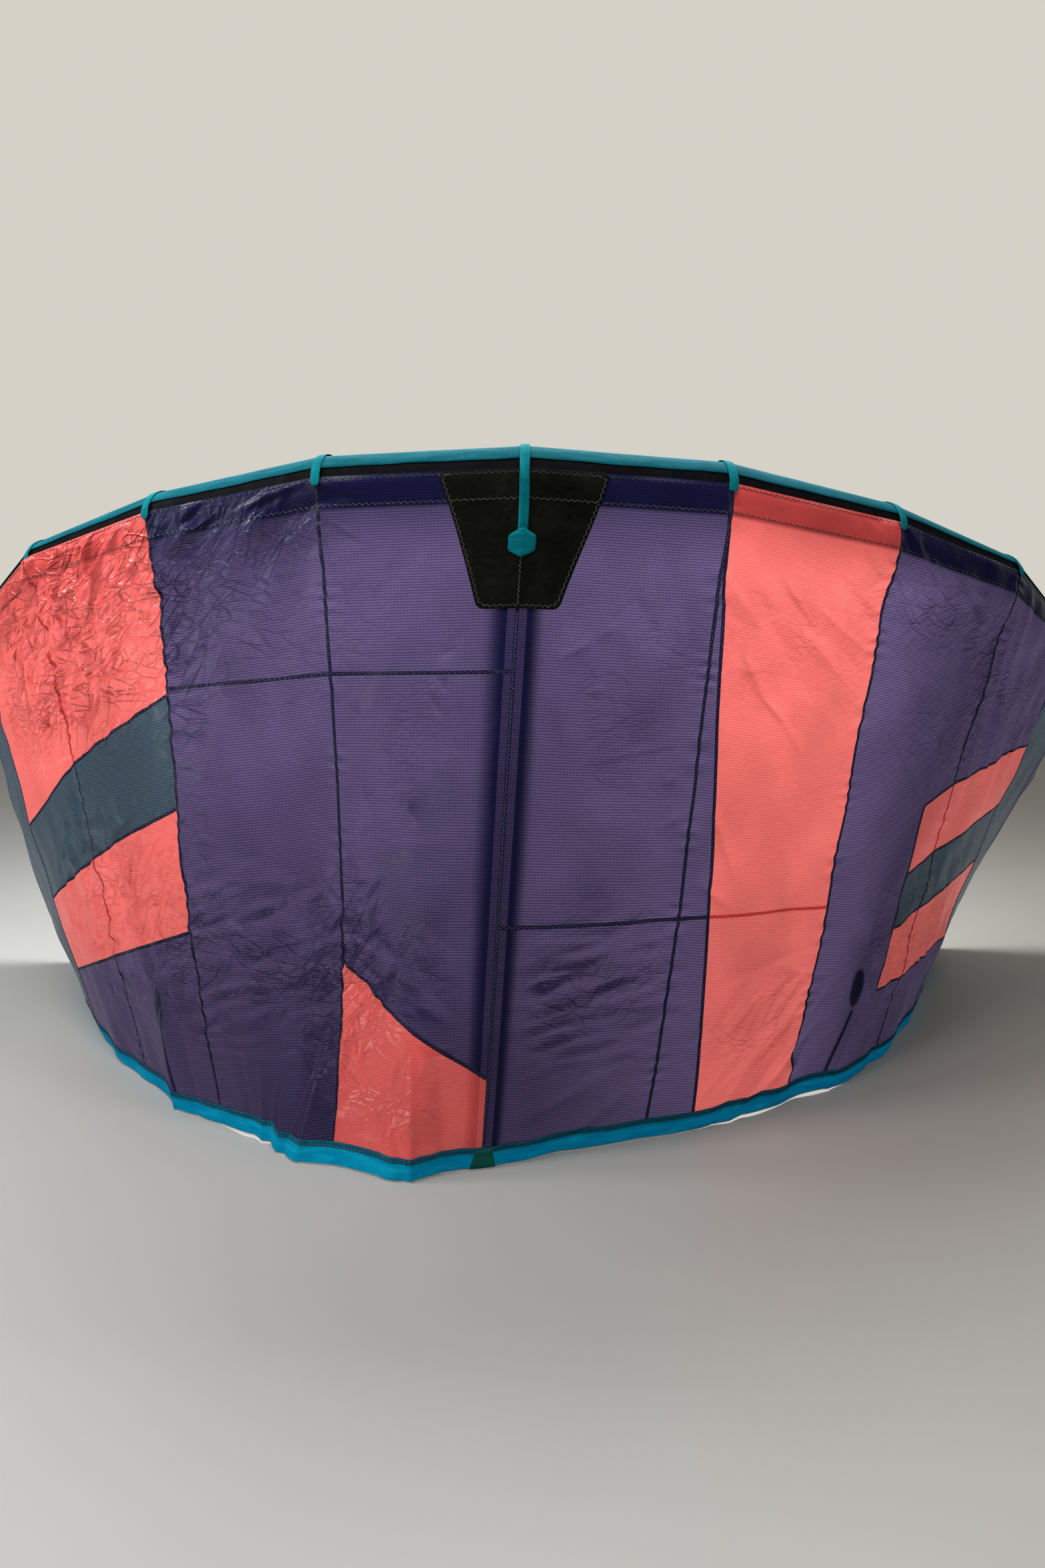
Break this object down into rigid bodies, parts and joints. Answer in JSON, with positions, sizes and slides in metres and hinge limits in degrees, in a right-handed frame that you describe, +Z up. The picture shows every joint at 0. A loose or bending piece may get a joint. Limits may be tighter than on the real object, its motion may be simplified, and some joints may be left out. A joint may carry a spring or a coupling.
{
  "type": "inflatable kitesurfing kite",
  "caption": "Inflatable kitesurfing kite standing on its trailing edge: a curved ripstop canopy on a tapered leading-edge tube, with struts behind, seam straps, tapes and a bound hem.",
  "frame": {"origin": "on the floor, under the middle of the kite's box", "axes": "+X along the span, to the right as seen from the outer face; +Y from the outer face into the arch; +Z up, from the trailing edge to the leading edge"},
  "size_m": [3.8162, 1.8834, 1.7134],
  "materials": {
    "canopy_violet": "satin",
    "canopy_coral": "satin",
    "canopy_slate": "satin",
    "hem_binding": "satin",
    "tube_cloth": "matte",
    "tape": "satin",
    "patch_cloth": "satin",
    "strut_cloth": "matte",
    "hem_patch_cloth": "satin"
  },
  "bodies": {
    "root": {"panel_1": "canopy_violet", "panel_2": "canopy_slate", "panel_3": "canopy_coral", "panel_4": "canopy_coral", "panel_5": "canopy_violet", "panel_6": "canopy_violet", "panel_7": "canopy_violet", "panel_8": "canopy_coral", "panel_9": "canopy_violet", "panel_10": "canopy_coral", "panel_11": "canopy_slate", "panel_12": "canopy_violet", "binding_1": "hem_binding", "binding_2": "hem_binding", "binding_3": "hem_binding", "binding_4": "hem_binding", "binding_5": "hem_binding", "binding_6": "hem_binding", "binding_7": "hem_binding", "binding_8": "hem_binding", "binding_9": "hem_binding", "binding_10": "hem_binding", "binding_11": "hem_binding", "binding_12": "hem_binding", "tube_1": "tube_cloth", "tube_2": "tube_cloth", "tube_3": "tube_cloth", "tube_4": "tube_cloth", "tube_5": "tube_cloth", "tube_6": "tube_cloth", "tube_7": "tube_cloth", "tube_8": "tube_cloth", "tube_9": "tube_cloth", "tube_10": "tube_cloth", "tube_11": "tube_cloth", "tube_12": "tube_cloth", "strut_left": "strut_cloth", "strut_centre": "strut_cloth", "strut_right": "strut_cloth", "edge_tape": "tape", "strap_1": "tape", "strap_2": "tape", "strap_3": "tape", "strap_4": "tape", "strap_5": "tape", "strap_6": "tape", "strap_7": "tape", "strap_8": "tape", "strap_9": "tape", "strap_10": "tape", "strap_11": "tape", "centre_patch": "patch_cloth", "centre_tab": "tape", "tip_tape_left": "patch_cloth", "tip_tape_right": "patch_cloth", "hem_patch": "hem_patch_cloth"}
  },
  "joints": []
}
